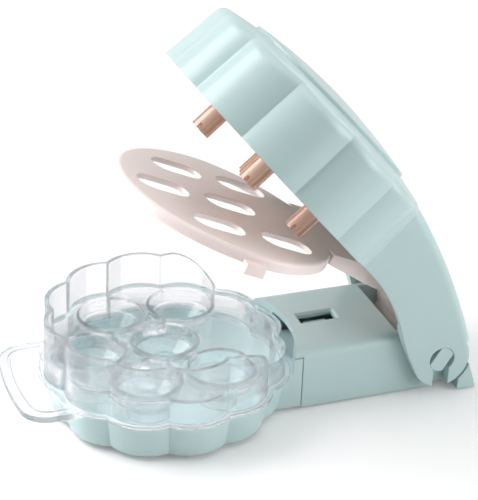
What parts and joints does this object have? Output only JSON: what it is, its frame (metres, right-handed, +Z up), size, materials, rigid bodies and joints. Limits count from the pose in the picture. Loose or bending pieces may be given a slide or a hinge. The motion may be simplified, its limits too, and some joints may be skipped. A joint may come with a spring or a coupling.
{
  "type": "cherry pitter",
  "caption": "Hand lever cherry pitter: fluted head with pitting rods, slotted stripper plate and clear cup tray over a stone bowl on a hinged base.",
  "frame": {"origin": "on the table, under the middle of the pitter's overall box", "axes": "+X from the tray's handle towards the hinge, +Y to the left of a user at the hinge looking along -X, +Z up"},
  "size_m": [0.1914, 0.1134, 0.1603],
  "materials": {
    "mint": "satin",
    "clear": "clear",
    "blush": "satin",
    "peach": "gloss",
    "foot": "matt",
    "steel": "plain"
  },
  "bodies": {
    "base": {"base_arm": "mint", "base_floor": "mint", "floor_screws": "steel", "arm_foot_1": "foot", "arm_foot_2": "foot", "arm_foot_3": "foot", "arm_foot_4": "foot", "hinge_shaft": "mint"},
    "bowl": {"pit_bowl": "mint", "bowl_foot_1": "foot", "bowl_foot_2": "foot", "bowl_foot_3": "foot"},
    "tray": {"cherry_tray": "clear"},
    "head": {"head_shell": "mint", "head_cap": "mint", "rod_carrier": "peach", "carrier_screws": "steel", "pitting_rod_1": "peach", "pitting_rod_2": "peach", "pitting_rod_3": "peach", "pitting_rod_4": "peach", "pitting_rod_5": "peach", "pitting_rod_6": "peach"},
    "plate": {"stripper_plate": "blush"}
  },
  "joints": [
    {"name": "head_hinge", "type": "hinge", "parent": "base", "child": "head", "pos_m": [0.07925, 0, 0.016], "axis": [0, 1, 0], "range_deg": [-49.3, 32.7]},
    {"name": "plate_hinge", "type": "hinge", "parent": "base", "child": "plate", "pos_m": [0.07925, 0, 0.016], "axis": [0, 1, 0], "range_deg": [-22.45, 14.95]},
    {"name": "bowl_slide", "type": "slide", "parent": "base", "child": "bowl", "axis": [-1, 0, 0], "range_m": [0, 0.14]},
    {"name": "tray_lift", "type": "slide", "parent": "bowl", "child": "tray", "axis": [0, 0, 1], "range_m": [0, 0.0421]}
  ],
  "couplings": [
    {"joint": "plate_hinge", "follows": "head_hinge", "ratio": 0.45436},
    {"joint": "tray_lift", "follows": "bowl_slide", "ratio": 0.3}
  ]
}
